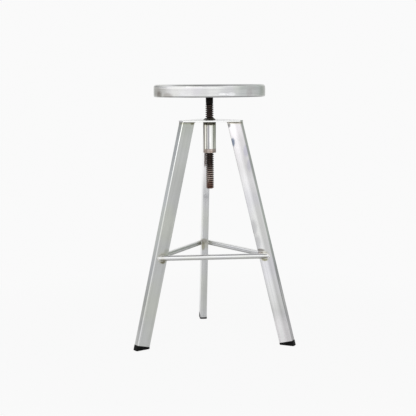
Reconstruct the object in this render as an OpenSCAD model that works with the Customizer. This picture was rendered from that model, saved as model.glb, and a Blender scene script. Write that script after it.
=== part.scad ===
// Three-legged counter stool with a steel seat on a turned lift screw.
// Lengths are in millimetres and Z points up.
// The origin lies on the floor, on the axis of the lift screw.

/* [Seat] */
// Diameter of the round seat
seat_d = 314; // [260:1:380]
// Height of the seat's rim
rim_h = 35; // [34:1:60]
// Thickness of the seat's sheet steel
sheet_t = 2.5; // [1.5:0.5:3.5]
// Outside radius of the seat's top edge
edge_r = 8; // [5:0.5:12]
// Outside radius of the rim's lower edge
foot_r = 4; // [4:0.5:8]
// Width of the lip that turns in under the rim, from the outside
lip_w = 14; // [10:1:24]
// Gap between the top plate and the seat's rim in the stored position
seat_gap = 64.5; // [45:0.5:90]

/* [Seat mounting] */
// Width of the flat bars under the seat
brace_w = 30; // [24:1:40]
// Thickness of the flat bars under the seat
brace_t = 8; // [5:1:10]
// Diameter of the round flange that carries the seat
flange_d = 100; // [94:1:130]
// Thickness of the flange
flange_t = 8; // [6:1:10]
// Diameter of the collar that grips the top of the screw
collar_d = 38; // [34:1:44]
// Height of the collar
collar_h = 12; // [12:1:16]
// Diameter of the circle that the flange bolts lie on
bolt_circle_d = 72; // [68:1:76]
// Thread diameter of the flange bolts
bolt_d = 8; // [6:1:10]
// Diameter of the collar's two grub screws
grub_d = 6; // [4:1:8]

/* [Lift screw] */
// Outside diameter of the lift screw
screw_d = 22.8; // [18:0.1:24]
// Rise of the thread in one turn
thread_pitch = 5.8; // [5:0.1:8]
// Depth of the thread
thread_depth = 3.2; // [1.5:0.1:3.5]
// Axial width of the flat on top of the thread
thread_crest_w = 2.2; // [1.5:0.1:2.2]
// Axial width of each sloping side of the thread
thread_flank_w = 0.9; // [0.5:0.1:1]
// Length of screw that hangs below the lower nut in the stored position
screw_tail = 102.3; // [60:0.1:140]
// Length of plain screw between the seat's rim and the end of the thread
plain_shank = 17; // [6:1:30]
// Distance that the plain screw lies inside the top of the thread, on the radius
shank_inset = 1; // [0:0.05:1.5]
// Play between the screw's thread and the nuts, measured along a radius
thread_play = 0.55; // [0.5:0.05:0.8]
// Play between the screw's thread and the nuts, measured along the axis
thread_side_play = 0.35; // [0.3:0.05:0.45]

/* [Nut sleeve] */
// Outside diameter of the sleeve under the top plate
sleeve_d = 36; // [34:1:42]
// Wall of the sleeve
sleeve_wall = 4; // [2:0.5:4]
// Length of the sleeve from the plate to the lower nut's collar
sleeve_len = 77.5; // [60:0.5:110]
// Length of the upper nut
upper_nut_len = 22; // [14:1:26]
// Height of the lower nut's collar, which shows below the sleeve
nut_collar_h = 10.5; // [6:0.5:16]
// Length of the lower nut inside the sleeve
nut_spigot_len = 14; // [8:1:24]
// Leg length of the weld that runs round the top of the sleeve
sleeve_weld_w = 2; // [1.5:0.5:4]

/* [Dust ring] */
// Diameter of the dust ring where it lies on the plate
ring_base_d = 34; // [32:1:40]
// Diameter of the dust ring at its top
ring_top_d = 26; // [26:0.5:30]
// Height of the dust ring
ring_h = 4.5; // [4:0.5:8]
// Height of the upright edge at the ring's foot
ring_foot_h = 1; // [0.5:0.5:2]

/* [Top plate] */
// Height of the top plate's upper face above the floor
stand_h = 627; // [560:1:700]
// Thickness of the top plate
plate_t = 4.5; // [3:0.5:8]
// Diameter of the hole that the screw passes through
plate_hole_d = 25; // [25:0.5:27]

/* [Legs] */
// Width of the leg tube along its wide side
tube_w = 40; // [36:1:50]
// Width of the leg tube along its narrow side
tube_t = 20; // [18:1:26]
// Wall of the leg tube
tube_wall = 2; // [1.5:0.5:2.5]
// Outside corner radius of the leg tube
tube_corner_r = 3; // [3:0.5:5]
// Distance from the axis to a leg's outer face at the top plate
leg_top_r = 98; // [94:1:120]
// Distance from the axis to a leg's outer face at the floor
leg_floor_r = 257.5; // [230:0.5:290]

/* [Footrest] */
// Diameter of the footrest bars
bar_d = 15; // [12:0.5:16]
// Height of the bars' axes above the floor
footrest_h = 250; // [180:1:330]
// Level distance from a leg's outer face to the middle of a bar's end
bar_inset = 23; // [21:0.5:24]

/* [Foot caps] */
// Thickness of the sole under the inner edge of a leg
sole_t = 5; // [3:0.5:10]
// Distance that the sole stands proud of the tube all round
sole_proud = 0.5; // [0:0.1:1]
// Length of the plug inside the tube
plug_len = 22; // [12:1:35]
// Wall of the hollow plug
plug_wall = 2.5; // [2:0.5:4]

/* [Fits] */
// Clearance on a radius or a side between pieces that are fixed together
fixed_gap = 0.1; // [0.05:0.01:0.15]
// Clearance between the dust ring and the screw, and under the ring
ring_gap = 0.3; // [0.2:0.05:0.4]

/* [Hidden] */

// Directions of the three legs, and of the footrest bar that faces each side
REAR_ANGLE = 90;
LEFT_ANGLE = 210;
RIGHT_ANGLE = 330;
LEG_ANGLES = [REAR_ANGLE, LEFT_ANGLE, RIGHT_ANGLE];
THIRD_TURN = 120;

// Flat sides for smooth round shapes, and the steps in one turn of thread
ROUND_FN = 96;
SMALL_FN = 48;
THREAD_STEPS = 16;

// A cut runs this far past the face that it opens
OVERCUT = 1;

// Turns of thread past each end of a nut, so that its whole length is cut full
SPARE_TURNS = 3;

// Angle between a footrest bar and the plane of each leg that it joins
BAR_SLANT = 30;

// Height and width of a hexagon head as shares of its thread's diameter
BOLT_HEAD_HEIGHT_SHARE = 0.66;
BOLT_HEAD_WIDTH_SHARE = 1.63;

// Heights of the stand
plate_z = stand_h - plate_t;
sleeve_bottom_z = plate_z - sleeve_len;
nut_bottom_z = sleeve_bottom_z - nut_collar_h;

// Lean of the legs, and the place of their square-cut lower ends
splay = atan((leg_floor_r - leg_top_r) / plate_z);
leg_start = (sole_t + tube_w * sin(splay)) / cos(splay);
leg_span = plate_z / cos(splay) + tube_w;

// Smallest corner radius inside the tube and on the hollow plug
inner_corner_r = 0.4;

// The footrest bars, which end on the legs' side faces
bar_end_r = leg_floor_r - footrest_h * tan(splay) - bar_inset;
bar_corner_r = bar_end_r + tube_t / 2 / tan(BAR_SLANT);
bar_axis_y = -bar_corner_r / 2;

// Heights of the seat unit, from the rim down to the collar
rim_z = stand_h + seat_gap;
seat_top_z = rim_z + rim_h;
brace_top_z = seat_top_z - sheet_t;
flange_top_z = brace_top_z - brace_t;
collar_top_z = flange_top_z - flange_t;
collar_bottom_z = collar_top_z - collar_h;
screw_bottom_z = nut_bottom_z - screw_tail;
screw_top_z = flange_top_z;

// The thread starts above the screw's end and runs out below the seat
crest_r = screw_d / 2;
root_r = crest_r - thread_depth;
shank_r = crest_r - shank_inset;
end_chamfer = 1.5;
plain_start = 0.5;
run_in = 0.25;
thread_z = screw_bottom_z + end_chamfer + plain_start;
thread_turns = floor((rim_z - plain_shank - thread_z) / thread_pitch);

// The brace bars and what is drilled in them
pan_inner_r = seat_d / 2 - sheet_t;
brace_end_gap = 2;
brace_reach = sqrt(pow(seat_d / 2 - edge_r, 2) - pow(brace_w / 2, 2)) - brace_end_gap;
bolt_hole_r = bolt_d / 2 + fixed_gap;
bolt_head_h = bolt_d * BOLT_HEAD_HEIGHT_SHARE;
bolt_head_across = bolt_d * BOLT_HEAD_WIDTH_SHARE;
washer_d = bolt_d * 2;
washer_t = 1.6;
bolt_end_gap = 1;
bolt_reach = flange_t + brace_t - bolt_end_gap;
grub_recess = 1;

// Rectangle with four round corners, centred
module round_rect(width, height, radius) {
  square([width - 2 * radius, height], center = true);
  square([width, height - 2 * radius], center = true);
  for (x = [-1, 1], y = [-1, 1])
    translate([x * (width / 2 - radius), y * (height / 2 - radius)])
      circle(r = radius, $fn = SMALL_FN);
}

// Half section of a disc whose rim is rounded above and below
module rim_section(radius, low, high, low_corner, high_corner) {
  belt_low = low + low_corner;
  belt_high = high - high_corner;
  translate([0, low]) square([radius - low_corner, belt_high - low]);
  translate([0, belt_low]) square([radius - high_corner, high - belt_low]);
  translate([0, belt_low]) square([radius, belt_high - belt_low]);
  translate([radius - low_corner, belt_low]) circle(r = low_corner, $fn = SMALL_FN);
  translate([radius - high_corner, belt_high]) circle(r = high_corner, $fn = SMALL_FN);
}

// Upright tube or rod between two heights
module upright(diameter, low, high) {
  translate([0, 0, low]) cylinder(d = diameter, h = high - low, $fn = ROUND_FN);
}

// Threaded rod between two heights, as one closed surface.
// The profile climbs one pitch a turn. The thread grows over the first part of a turn,
// and fades out into the plain shank over the last turn.
// Play widens the form, so that the same rod also cuts the thread of a nut.
module threaded_rod(low, high, first_z, turns, play, side_play) {
  n = THREAD_STEPS;
  last = n * turns;
  inner = root_r + play;
  outer = crest_r + play;
  shank = shank_r + play;
  profile = [
    [-side_play, 0],
    [thread_flank_w - side_play, 1],
    [thread_flank_w + thread_crest_w + side_play, 1],
    [2 * thread_flank_w + thread_crest_w + side_play, 0]
  ];
  m = len(profile);

  function ramp(x) = min(max(x, 0), 1);
  function grown(k) = ramp(k / n / run_in);
  function faded(k) = ramp(1 - (last - k) / n);
  function full_radius(k, p) = inner + (outer - inner) * profile[p][1] * grown(k);
  function radius_at(k, p) = full_radius(k, p) + (shank - full_radius(k, p)) * faded(k);
  function on_circle(radius, k, z) =
    [radius * cos(360 * k / n), radius * sin(360 * k / n), z];
  function thread_point(k, p) =
    on_circle(radius_at(k, p), k, first_z + thread_pitch * k / n + profile[p][0]);
  function end_ring(radius, z) = [for (k = [0 : n - 1]) on_circle(radius, k, z)];

  points = concat(
    end_ring(inner - end_chamfer, low),
    end_ring(inner, low + end_chamfer),
    [for (k = [0 : last]) for (p = [0 : m - 1]) thread_point(k, p)],
    [for (k = [last + 1 : last + n]) thread_point(k, 0)],
    end_ring(shank, high)
  );

  strip = 2 * n;
  crown = strip + (last + 1) * m + n;
  function tip(k) = k % n;
  function foot(k) = n + k % n;
  function top(k) = crown + k % n;
  function at(k, p) = p == m ? at(k + n, 0)
    : k <= last ? strip + k * m + p
    : strip + (last + 1) * m + k - last - 1;

  faces = concat(
    [[for (k = [0 : n - 1]) tip(k)]],
    [for (k = [0 : n - 1]) [tip(k), foot(k), foot(k + 1), tip(k + 1)]],
    [for (k = [0 : n - 2]) [foot(k), at(k, 0), at(k + 1, 0), foot(k + 1)]],
    [for (p = [0 : m - 1]) [at(n - 1, 0), at(0, p + 1), at(0, p)]],
    [[foot(n - 1), at(n - 1, 0), at(0, 0), foot(0)]],
    [for (k = [0 : last - 1]) for (p = [0 : m - 1]) [at(k, p), at(k, p + 1), at(k + 1, p + 1)]],
    [for (k = [0 : last - 1]) for (p = [0 : m - 1]) [at(k, p), at(k + 1, p + 1), at(k + 1, p)]],
    [for (p = [0 : m - 1]) [at(last + 1, 0), at(last, p), at(last, p + 1)]],
    [[at(last + 1, 0), at(last, m), top(0), top(1)]],
    [for (k = [1 : n - 1]) [at(last + k, 0), top(k), top(k + 1), at(last + k + 1, 0)]],
    [[for (k = [n - 1 : -1 : 0]) top(k)]]
  );
  polyhedron(points = points, faces = faces, convexity = 10);
}

// Thread that is cut through a nut between two heights, in step with the screw
module nut_thread(low, high) {
  start_turn = floor((low - thread_z) / thread_pitch) - SPARE_TURNS;
  start_z = thread_z + start_turn * thread_pitch;
  turns = ceil((high - low) / thread_pitch) + 2 * SPARE_TURNS;
  threaded_rod(
    start_z - thread_pitch, start_z + (turns + 2) * thread_pitch, start_z, turns,
    thread_play, thread_side_play);
}

// Stand

module top_plate() {
  half = tube_t / 2;
  outline = [
    for (a = LEG_ANGLES)
      for (side = [-half, half])
        [leg_top_r * cos(a) - side * sin(a), leg_top_r * sin(a) + side * cos(a)]
  ];
  color("gainsboro")
    translate([0, 0, plate_z])
      difference() {
        linear_extrude(plate_t) polygon(outline);
        translate([0, 0, -OVERCUT])
          cylinder(d = plate_hole_d, h = plate_t + 2 * OVERCUT, $fn = ROUND_FN);
      }
}

module nut_sleeve() {
  color("lightgray")
    difference() {
      upright(sleeve_d, sleeve_bottom_z, plate_z);
      upright(sleeve_d - 2 * sleeve_wall, sleeve_bottom_z - OVERCUT, plate_z + OVERCUT);
    }
}

module sleeve_weld() {
  inner = sleeve_d / 2 + fixed_gap;
  color("dimgray")
    rotate_extrude($fn = ROUND_FN)
      polygon([
        [inner, plate_z],
        [inner, plate_z - sleeve_weld_w],
        [inner + sleeve_weld_w / 3, plate_z - sleeve_weld_w * 2 / 3],
        [inner + sleeve_weld_w, plate_z]
      ]);
}

module upper_nut() {
  low = plate_z - upper_nut_len;
  color("saddlebrown")
    difference() {
      upright(sleeve_d - 2 * sleeve_wall - 2 * fixed_gap, low, plate_z);
      nut_thread(low, plate_z);
    }
}

module lower_nut() {
  spigot_top_z = sleeve_bottom_z + nut_spigot_len;
  color("rosybrown")
    difference() {
      union() {
        upright(sleeve_d, nut_bottom_z, sleeve_bottom_z);
        upright(sleeve_d - 2 * sleeve_wall - 2 * fixed_gap, nut_bottom_z, spigot_top_z);
      }
      nut_thread(nut_bottom_z, spigot_top_z);
    }
}

// Moves what is drawn along Z onto the slope of the leg that points to an angle.
// There, Z runs up the leg from the floor and X = 0 is its outer face.
module along_leg(angle) {
  rotate([0, 0, angle])
    translate([leg_floor_r, 0, 0])
      rotate([0, -splay, 0]) children();
}

// Outline of the leg tube, grown by a distance on every side
module tube_outline(grow) {
  translate([-tube_w / 2, 0])
    round_rect(tube_w + 2 * grow, tube_t + 2 * grow, max(tube_corner_r + grow, inner_corner_r));
}

module leg(angle) {
  color("silver")
    difference() {
      along_leg(angle)
        translate([0, 0, leg_start])
          linear_extrude(leg_span)
            difference() {
              tube_outline(0);
              tube_outline(-tube_wall);
            }
      translate([0, 0, plate_z]) cylinder(r = 2 * leg_floor_r, h = leg_span, $fn = SMALL_FN);
    }
}

// Wedge-shaped plastic sole with a hollow plug that fills the tube's end
module foot_cap(angle) {
  plug_grow = -tube_wall - fixed_gap;
  color("black")
    difference() {
      along_leg(angle) {
        linear_extrude(leg_start) tube_outline(sole_proud);
        translate([0, 0, -tube_w])
          linear_extrude(tube_w + OVERCUT) tube_outline(sole_proud);
        translate([0, 0, leg_start - OVERCUT])
          difference() {
            linear_extrude(plug_len + OVERCUT) tube_outline(plug_grow);
            translate([0, 0, OVERCUT])
              linear_extrude(plug_len + OVERCUT) tube_outline(plug_grow - plug_wall);
          }
      }
      translate([0, 0, -2 * tube_w])
        cylinder(r = 2 * leg_floor_r, h = 2 * tube_w, $fn = SMALL_FN);
    }
}

// Round bar between two legs, cut at a slant by the side face of each
module footrest_bar(angle) {
  near = bar_axis_y - bar_d;
  far = bar_axis_y + bar_d;
  function end_x(y) = -tube_t - y / tan(BAR_SLANT);
  color("lightgray")
    rotate([0, 0, angle - REAR_ANGLE])
      intersection() {
        translate([0, bar_axis_y, footrest_h])
          rotate([0, 90, 0])
            cylinder(d = bar_d, h = 4 * leg_floor_r, center = true, $fn = ROUND_FN);
        translate([0, 0, footrest_h - bar_d])
          linear_extrude(2 * bar_d)
            polygon([
              [-end_x(near), near],
              [end_x(near), near],
              [end_x(far), far],
              [-end_x(far), far]
            ]);
      }
}

// Loose ring on the plate, which the screw drags round
module dust_ring() {
  base_z = stand_h + ring_gap;
  bore_r = crest_r + ring_gap;
  color("darkolivegreen")
    rotate_extrude($fn = ROUND_FN)
      polygon([
        [bore_r, base_z],
        [ring_base_d / 2, base_z],
        [ring_base_d / 2, base_z + ring_foot_h],
        [ring_top_d / 2, base_z + ring_h],
        [bore_r, base_z + ring_h]
      ]);
}

// Seat unit

module lift_screw() {
  color([0.18, 0.12, 0.1])
    threaded_rod(screw_bottom_z, screw_top_z, thread_z, thread_turns, 0, 0);
}

module hub_collar() {
  color("slategray")
    difference() {
      upright(collar_d, collar_bottom_z, collar_top_z);
      upright(2 * shank_r + 2 * fixed_gap, collar_bottom_z - OVERCUT, collar_top_z + OVERCUT);
      translate([0, 0, collar_bottom_z + collar_h / 2])
        rotate([0, 90, 0])
          cylinder(d = grub_d + 2 * fixed_gap, h = 2 * collar_d, center = true, $fn = SMALL_FN);
    }
}

// Two socket screws that bear on the plain top of the lift screw
module grub_screws() {
  length = collar_d / 2 - shank_r - grub_recess;
  socket_d = grub_d / 2;
  socket_depth = length / 2;
  color("black")
    for (side = [0, 180])
      rotate([0, 0, side])
        translate([shank_r + fixed_gap, 0, collar_bottom_z + collar_h / 2])
          rotate([0, 90, 0])
            difference() {
              cylinder(d = grub_d, h = length, $fn = SMALL_FN);
              translate([0, 0, length - socket_depth])
                cylinder(d = socket_d, h = socket_depth + OVERCUT, $fn = 6);
            }
}

module at_bolts() {
  for (side = [0 : 3])
    rotate([0, 0, 90 * side])
      translate([bolt_circle_d / 2, 0, 0]) children();
}

module hub_flange() {
  color("slategray")
    difference() {
      upright(flange_d, collar_top_z, flange_top_z);
      upright(2 * shank_r + 2 * fixed_gap, collar_top_z - OVERCUT, flange_top_z + OVERCUT);
      at_bolts()
        translate([0, 0, collar_top_z - OVERCUT])
          cylinder(r = bolt_hole_r, h = flange_t + 2 * OVERCUT, $fn = SMALL_FN);
    }
}

module flange_bolts() {
  color("dimgray")
    at_bolts()
      translate([0, 0, collar_top_z - washer_t]) {
        translate([0, 0, -bolt_head_h])
          cylinder(d = bolt_head_across / cos(30), h = bolt_head_h, $fn = 6);
        translate([0, 0, -bolt_head_h / 2])
          cylinder(d = bolt_d, h = bolt_head_h / 2 + washer_t + bolt_reach, $fn = SMALL_FN);
      }
}

module flange_washers() {
  color("gray")
    at_bolts()
      translate([0, 0, collar_top_z - washer_t])
        difference() {
          cylinder(d = washer_d, h = washer_t, $fn = SMALL_FN);
          translate([0, 0, -OVERCUT])
            cylinder(r = bolt_hole_r, h = washer_t + 2 * OVERCUT, $fn = SMALL_FN);
        }
}

// Flat bar from one distance along X to another, with the bolt holes in it
module brace_bar(from_x, to_x) {
  difference() {
    translate([from_x, -brace_w / 2, flange_top_z])
      cube([to_x - from_x, brace_w, brace_t]);
    at_bolts()
      translate([0, 0, flange_top_z - OVERCUT])
        cylinder(r = bolt_hole_r, h = brace_t + OVERCUT / 2, $fn = SMALL_FN);
  }
}

module brace_bar_long() {
  color("darkgray") brace_bar(-brace_reach, brace_reach);
}

module brace_bars_short() {
  color("darkgray")
    for (side = [90, 270])
      rotate([0, 0, side]) brace_bar(brace_w / 2, brace_reach);
}

module seat_pan() {
  color("silver")
    rotate_extrude($fn = 2 * ROUND_FN)
      difference() {
        rim_section(seat_d / 2, rim_z, seat_top_z, foot_r, edge_r);
        rim_section(pan_inner_r, rim_z + sheet_t, brace_top_z, foot_r - sheet_t, edge_r - sheet_t);
        translate([0, rim_z - OVERCUT])
          square([seat_d / 2 - lip_w, sheet_t + foot_r + OVERCUT]);
      }
}

top_plate();
nut_sleeve();
sleeve_weld();
upper_nut();
lower_nut();
leg(LEFT_ANGLE);  // leg_front_left
leg(RIGHT_ANGLE);  // leg_front_right
leg(REAR_ANGLE);  // leg_rear
footrest_bar(REAR_ANGLE);  // footrest_front
footrest_bar(REAR_ANGLE - THIRD_TURN);  // footrest_left
footrest_bar(REAR_ANGLE + THIRD_TURN);  // footrest_right
foot_cap(LEFT_ANGLE);  // foot_cap_front_left
foot_cap(RIGHT_ANGLE);  // foot_cap_front_right
foot_cap(REAR_ANGLE);  // foot_cap_rear
dust_ring();
lift_screw();
hub_collar();
grub_screws();
hub_flange();
flange_bolts();
flange_washers();
brace_bar_long();
brace_bars_short();
seat_pan();
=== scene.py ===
"""Looks of the counter stool: a steel seat on a turned lift screw over a splayed tripod."""
import math

import bmesh
import bpy
from mathutils import Matrix, Vector, noise


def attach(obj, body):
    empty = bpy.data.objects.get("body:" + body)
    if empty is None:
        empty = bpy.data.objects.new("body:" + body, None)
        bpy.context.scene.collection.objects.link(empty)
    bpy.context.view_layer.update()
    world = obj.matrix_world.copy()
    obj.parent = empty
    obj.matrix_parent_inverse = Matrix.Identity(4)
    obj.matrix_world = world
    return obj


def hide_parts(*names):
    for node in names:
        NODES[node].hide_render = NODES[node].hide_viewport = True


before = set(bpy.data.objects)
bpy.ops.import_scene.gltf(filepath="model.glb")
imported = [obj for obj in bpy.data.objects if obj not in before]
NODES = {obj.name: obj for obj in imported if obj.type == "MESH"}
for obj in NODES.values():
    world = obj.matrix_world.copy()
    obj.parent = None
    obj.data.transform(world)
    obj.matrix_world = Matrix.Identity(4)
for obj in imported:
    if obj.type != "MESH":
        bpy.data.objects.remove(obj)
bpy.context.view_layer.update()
MM = 0.001

# Sizes repeated from part.scad, in metres
SEAT_R = 157 * MM
SEAT_TOP = 726.5 * MM
RIM_LOW = 691.5 * MM
SHEET = 2.5 * MM
EDGE_R = 8 * MM
FOOT_R = 4 * MM
LIP_W = 14 * MM
PITCH = 5.8 * MM
CREST_R = 11.4 * MM
ROOT_R = 8.2 * MM
SHANK_R = 10.4 * MM
SCREW_LOW = 432.2 * MM
SCREW_HIGH = 716 * MM
THREAD_LOW = 434.2 * MM
THREAD_TURNS = 41
TIP_R = 7.6 * MM
PLATE_LOW = 622.5 * MM
PLATE_HIGH = 627 * MM
LEG_TOP_R = 98 * MM
LEG_FLOOR_R = 257.5 * MM
TUBE_W = 40 * MM
TUBE_T = 20 * MM
TUBE_CORNER_R = 3 * MM
SLEEVE_R = 18 * MM
SLEEVE_BORE_R = 14 * MM
SLEEVE_LOW = 545 * MM
BAR_R = 7.5 * MM
BAR_Z = 250 * MM
BAR_Y = -93.88 * MM
BAR_END_X = 142.61 * MM
SPLAY = math.atan((LEG_FLOOR_R - LEG_TOP_R) / PLATE_LOW)
LEG_ANGLES = {"leg_rear": 90, "leg_front_left": 210, "leg_front_right": 330}
BAR_TURNS = {"footrest_front": 0, "footrest_left": -120, "footrest_right": 120}

# Sizes of what is in this model only
CREST_PLACE = 2.0 * MM / PITCH
DOWN = Vector((0, 0, -1))
BAR_BEAD_R = 1.4 * MM
LEG_BEAD_R = 1.9 * MM
SLEEVE_BEAD_R = 1.8 * MM
HEEL_R = 6.5 * MM
RIM_BULGE = 0.2 * MM
SLEEVE_CHAMFER = 0.4 * MM


# Tables of looks

# Painted reflections: bright and dull stripes along the sleeve, by degrees from the front
SLEEVE_PAINTED_REFLECTIONS = [
    (-180, (0.75, 0.75, 0.74)), (-160, (0.55, 0.56, 0.52)), (-142, (0.60, 0.60, 0.57)),
    (-124, (0.40, 0.40, 0.37)), (-104, (0.80, 0.80, 0.79)), (-84, (0.24, 0.23, 0.20)),
    (-66, (0.22, 0.21, 0.18)), (-58, (0.38, 0.37, 0.33)), (-49, (0.98, 0.97, 0.90)),
    (-34, (1.0, 0.99, 0.94)), (-27, (0.60, 0.60, 0.57)), (-20, (0.34, 0.34, 0.35)),
    (-10, (0.50, 0.50, 0.52)), (-4, (1.0, 1.0, 0.98)), (6, (1.0, 1.0, 0.99)), (16, (0.92, 0.93, 0.89)),
    (23, (0.74, 0.75, 0.71)), (29, (0.46, 0.48, 0.43)), (40, (0.46, 0.48, 0.42)), (60, (0.31, 0.32, 0.28)),
    (84, (0.42, 0.42, 0.38)), (106, (0.60, 0.60, 0.56)), (124, (0.50, 0.51, 0.47)),
    (146, (0.78, 0.78, 0.77)), (162, (0.60, 0.60, 0.57)), (180, (0.75, 0.75, 0.74)),
]
# Stains, scorches, dark marks, painted shade and a painted reflection that the photo shows on the legs:
# centre, radius, stretch along Z, tint
DARK_OLIVE = (0.42, 0.40, 0.32)
LEG_MARKS_AND_PAINTED_LIGHT = {
    "leg_front_left": [
        # Painted shade under the front bar's end
        ((-0.1412, -0.0931, 0.2390), 0.011, 0.6, DARK_OLIVE),
        ((-0.1300, -0.0865, 0.2640), 0.014, 1.0, (0.84, 0.85, 0.80)),
        ((-0.0520, -0.0415, 0.6190), 0.009, 0.6, DARK_OLIVE),
    ],
    "leg_front_right": [
        # Painted shade under the front bar's end
        ((0.1430, -0.0940, 0.2400), 0.012, 0.5, (0.52, 0.51, 0.38)),
        ((0.1330, -0.0883, 0.2658), 0.015, 0.34, (0.40, 0.38, 0.36)),
        ((0.1320, -0.0878, 0.2580), 0.014, 0.34, (0.40, 0.37, 0.35)),
        # Painted reflection: a dark blue-grey patch high on the leg
        ((0.0597, -0.0460, 0.5645), 0.0092, 1.8, (0.28, 0.33, 0.41)),
        ((0.0498, -0.0403, 0.6130), 0.007, 1.2, (0.36, 0.37, 0.36)),
        ((0.0650, -0.0490, 0.6200), 0.026, 0.13, (0.58, 0.58, 0.54)),
        ((0.0943, -0.0659, 0.5430), 0.0095, 2.4, (0.84, 0.84, 0.92)),
        ((0.1031, -0.0710, 0.5035), 0.0095, 2.4, (0.88, 0.88, 0.94)),
        ((0.1141, -0.0774, 0.3272), 0.015, 2.0, (0.80, 0.80, 0.81)),
        ((0.1234, -0.0828, 0.2847), 0.015, 2.0, (0.80, 0.80, 0.81)),
    ],
    "leg_rear": [
        ((-0.0035, 0.1500, 0.2560), 0.013, 0.9, (0.64, 0.62, 0.58)),
        ((-0.0062, 0.1540, 0.2385), 0.009, 2.2, (0.66, 0.65, 0.57)),
    ],
}
BEAD_MARKS = [((0.1325, -0.0883, 0.2570), 0.009, 1.0, (0.42, 0.35, 0.31))]
# Painted highlights, reflections and shade on the seat's rim: centre, radius, stretch along Z, tint
RIM_PAINTED_MARKS = [
    ((-0.1450, -0.0602, 0.6975), 0.020, 0.75, (0.62, 0.60, 0.58)),
    ((-0.1240, -0.0963, 0.6940), 0.026, 0.5, (0.72, 0.70, 0.69)),
    ((-0.1330, -0.0834, 0.7180), 0.034, 0.11, (1.26, 1.26, 1.26)),
    ((-0.0510, -0.1485, 0.7216), 0.036, 0.075, (0.56, 0.56, 0.56)),
    ((0.0180, -0.1560, 0.7008), 0.011, 0.38, (1.36, 1.36, 1.36)),
    ((0.0270, -0.1547, 0.7003), 0.010, 0.38, (1.30, 1.30, 1.30)),
    ((0.0440, -0.1507, 0.7000), 0.016, 0.38, (1.34, 1.34, 1.34)),
    ((0.0960, -0.1242, 0.7030), 0.016, 1.0, (0.90, 0.88, 0.88)),
]
# Painted reflections: light and dark along the lower nut's collar, by degrees from the front
COLLAR_PAINTED_REFLECTIONS = [
    (-180, 0.9), (-90, 0.56), (-60, 0.66), (-30, 0.82), (0, 0.92), (12, 1.3), (24, 0.76), (50, 0.50),
    (90, 0.44), (180, 0.9),
]
# Painted shade and highlights on the rim, from its lower edge to the top, on the left and on the right
RIM_LEFT = [
    (0.0, 0.46), (0.065, 0.46), (0.125, 0.94), (0.17, 1.0), (0.45, 0.97), (0.60, 1.0), (0.67, 1.12),
    (0.74, 1.27), (0.775, 1.2), (0.81, 0.76), (0.87, 0.70), (0.92, 1.04), (1.0, 1.12),
]
RIM_RIGHT = [
    (0.0, 0.50), (0.065, 0.52), (0.125, 0.92), (0.17, 0.95), (0.45, 0.94), (0.60, 0.92), (0.70, 0.93),
    (0.77, 0.98), (0.83, 1.04), (0.87, 1.24), (1.0, 1.28),
]
# Where a ramp is level all the way
EVEN = [(0.0, 1.0), (1.0, 1.0)]
# Legs: what leg_steel takes for each. shine is a painted highlight; wide, across and narrow are painted shade
# and highlight
LEG_LOOKS = {
    "leg_rear": {
        "tone": (0.75, 0.755, 0.745), "reach": 0.024, "uneven": 0.05,
        "shine": [(0.0, 0.0), (0.40, 0.0), (0.48, 0.8), (1.0, 0.8)],
    },
    "leg_front_left": {
        "tone": (0.74, 0.75, 0.72), "reach": 0.012, "uneven": 0.04,
        "shine": [(0.0, 0.0), (1.0, 0.0)],
        "wide": [
            (0.0, 0.93), (0.20, 0.93), (0.32, 0.87), (0.40, 0.72), (0.46, 0.70), (0.54, 0.77), (1.0, 0.80),
        ],
        "narrow": [(0.0, 1.0), (0.30, 1.0), (0.50, 1.22), (0.57, 1.2), (0.615, 1.0), (1.0, 1.0)],
    },
    "leg_front_right": {
        "tone": (0.77, 0.77, 0.78), "reach": 0.010, "uneven": 0.07,
        "shine": [(0.0, 0.9), (0.05, 0.9), (0.10, 0.1), (0.40, 0.1), (0.46, 0.4), (0.58, 0.9), (1.0, 0.9)],
        "wide": [
            (0.0, 0.96), (0.42, 0.97), (0.46, 1.0), (0.50, 0.88), (0.57, 0.88), (0.60, 0.94), (1.0, 0.94),
        ],
        "across": [
            (0.0, 0.87), (0.32, 0.86), (0.45, 1.0), (0.58, 1.15), (0.75, 1.13), (0.9, 1.0), (1.0, 0.98),
        ],
        "narrow": [
            (0.0, 0.52), (0.19, 0.52), (0.25, 0.8), (0.32, 1.0), (0.42, 1.0), (0.50, 0.76), (1.0, 0.72),
        ],
    },
}
# Footrest bars: tone and roughness. The side bars' darker tones are painted shade
BAR_LOOKS = {
    "footrest_front": ((0.84, 0.84, 0.835), 0.13),
    "footrest_left": ((0.56, 0.57, 0.55), 0.22),
    "footrest_right": ((0.67, 0.67, 0.68), 0.24),
}
# The plate's cut corners, by angle from +X
SAWN = [(210, (0.60, 0.60, 0.62)), (330, (0.52, 0.53, 0.50)), (90, (0.60, 0.60, 0.60))]
# Seat, and the painted highlight that whitens a leg
SATIN = (0.78, 0.78, 0.775)
LEG_PAINTED_HIGHLIGHT = (0.96, 0.94, 0.95)
# How far the plate's weld tints a leg, and where the dark band at the top of the sleeve ends, both below the
# plate
PLATE_HEAT = 0.010
SLEEVE_DARK_BAND = (0.0107, 0.0083)
# Heights on the lift screw between which it becomes worn with painted highlights on its crests, rusty, dark
# at its end, rusty in its grooves at the tip, and black with the seat's painted shadow on its shank
SCREW_RUBBED = (0.55, 0.60)
SCREW_RUST = (0.505, 0.470)
SCREW_END = (0.462, 0.440)
SCREW_TIP = (0.4375, 0.4345)
SCREW_SHANK_SHADOW = (0.665, 0.672)

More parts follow.
